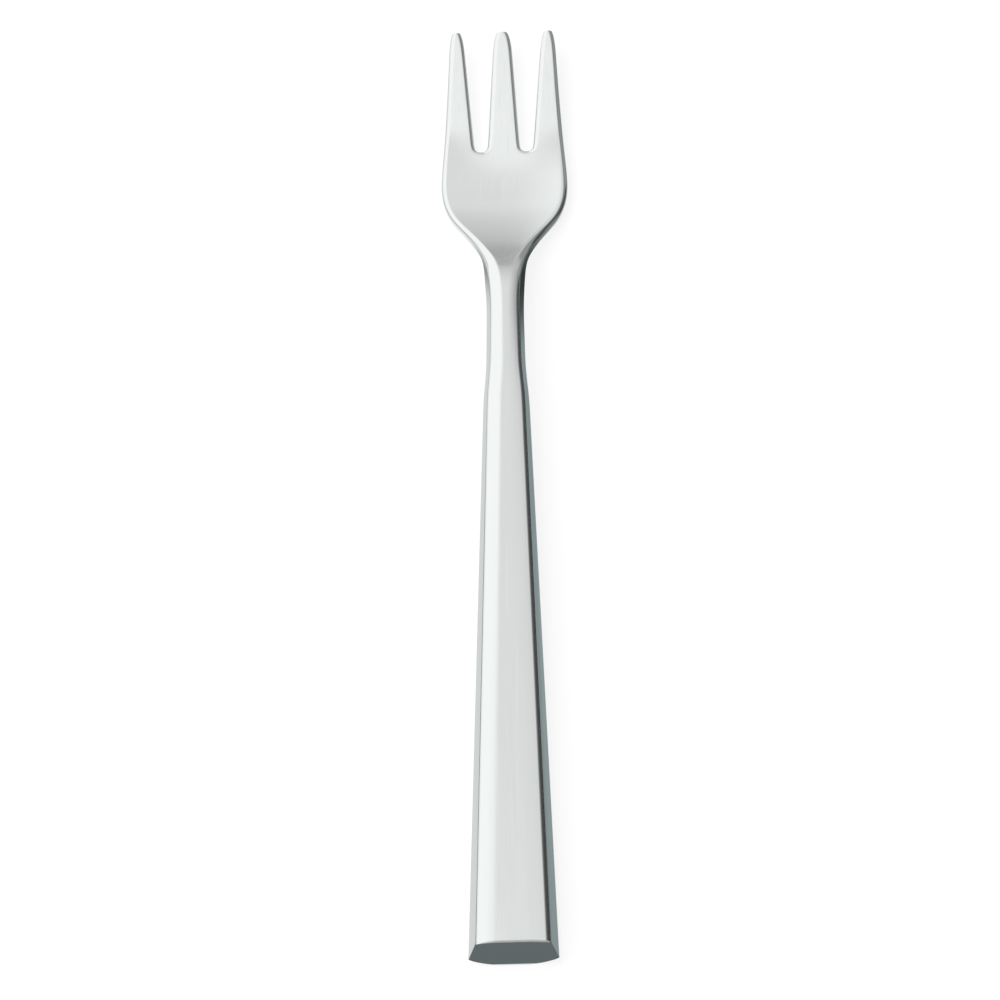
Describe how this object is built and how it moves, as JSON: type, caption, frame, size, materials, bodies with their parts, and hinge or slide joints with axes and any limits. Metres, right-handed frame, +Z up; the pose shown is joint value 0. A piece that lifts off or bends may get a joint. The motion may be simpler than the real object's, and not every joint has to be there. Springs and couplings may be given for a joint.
{
  "type": "oyster fork",
  "caption": "Small table fork with short tapered tines, a shallow bowl, a slim neck and a bevelled hollow handle that widens to a cut-off butt.",
  "frame": {"origin": "on the table under the middle of the fork's length, with the fork lying on its back", "axes": "+Y runs to the tine tips, +Z is up, out of the top of the handle, and +X is to the right as seen from the butt"},
  "size_m": [0.0188, 0.1499, 0.0071],
  "materials": {
    "polished_steel": "mirror-polished stainless steel with faint polishing lines along the handle",
    "handle_cement": "matt grey handle cement, sealed inside"
  },
  "bodies": {
    "root": {"fork_head": "polished_steel", "handle_upper_shell": "polished_steel", "handle_lower_shell": "polished_steel", "handle_end_plate": "polished_steel", "handle_filler": "handle_cement"}
  },
  "joints": []
}
